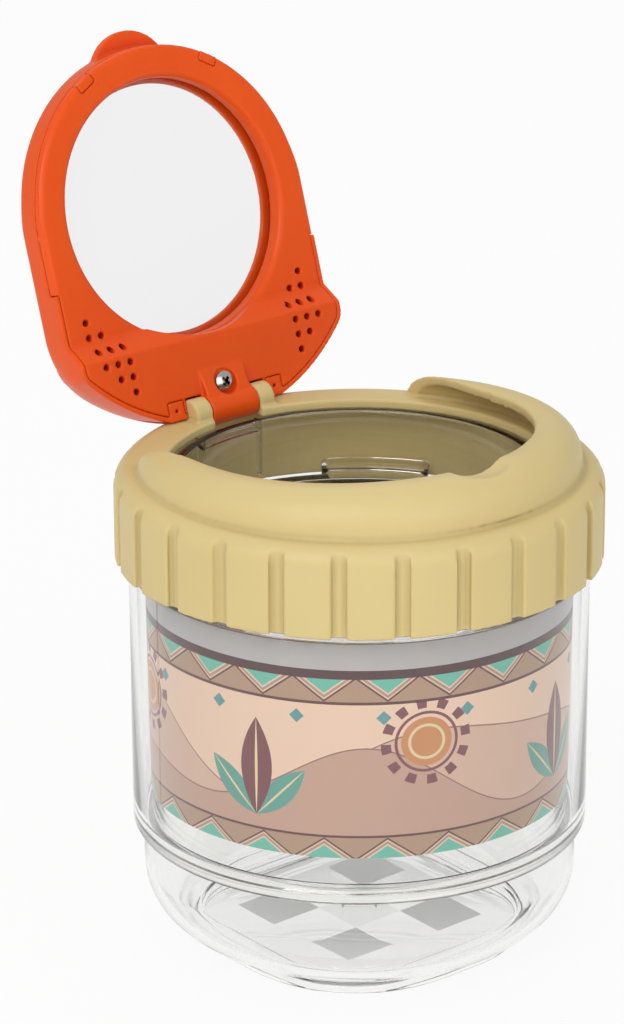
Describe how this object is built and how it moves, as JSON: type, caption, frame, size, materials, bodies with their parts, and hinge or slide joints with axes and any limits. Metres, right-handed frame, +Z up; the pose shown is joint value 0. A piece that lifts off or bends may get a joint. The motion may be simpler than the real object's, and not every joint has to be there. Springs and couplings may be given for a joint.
{
  "type": "bug catcher jar",
  "caption": "Clear double-walled bug jar on a rounded square foot, with a printed band, a ribbed turning collar and a hinged lid with a magnifying lens and air holes.",
  "frame": {"origin": "on the jar's axis, at the plane on which the foot stands", "axes": "+Z up along the jar's axis, +Y towards the lid's hinge, +X to the right of someone who faces the hinge"},
  "size_m": [0.1, 0.1288, 0.1776],
  "materials": {
    "clear_jar": "clear moulded plastic",
    "clear_sleeve": "clear moulded plastic",
    "printed_film": "printed plastic film",
    "sand_plastic": "satin moulded plastic",
    "orange_plastic": "satin moulded plastic",
    "lens_plastic": "polished clear plastic",
    "steel": "nickel plated steel"
  },
  "bodies": {
    "jar": {"inner_jar": "clear_jar", "outer_sleeve": "clear_sleeve", "picture_band": "printed_film"},
    "collar": {"screw_collar": "sand_plastic", "hinge_pin": "steel"},
    "lid": {"lid_cover": "orange_plastic", "lid_frame": "orange_plastic", "lens": "lens_plastic", "lid_screw": "steel"}
  },
  "joints": [
    {"name": "collar_turn", "type": "hinge", "parent": "jar", "child": "collar", "pos_m": [0, 0, 0.09], "axis": [0, 0, 1], "range_deg": [0, 45]},
    {"name": "lid_hinge", "type": "hinge", "parent": "collar", "child": "lid", "pos_m": [0, 0.043, 0.1036], "axis": [1, 0, 0], "range_deg": [0, 107.9]}
  ]
}
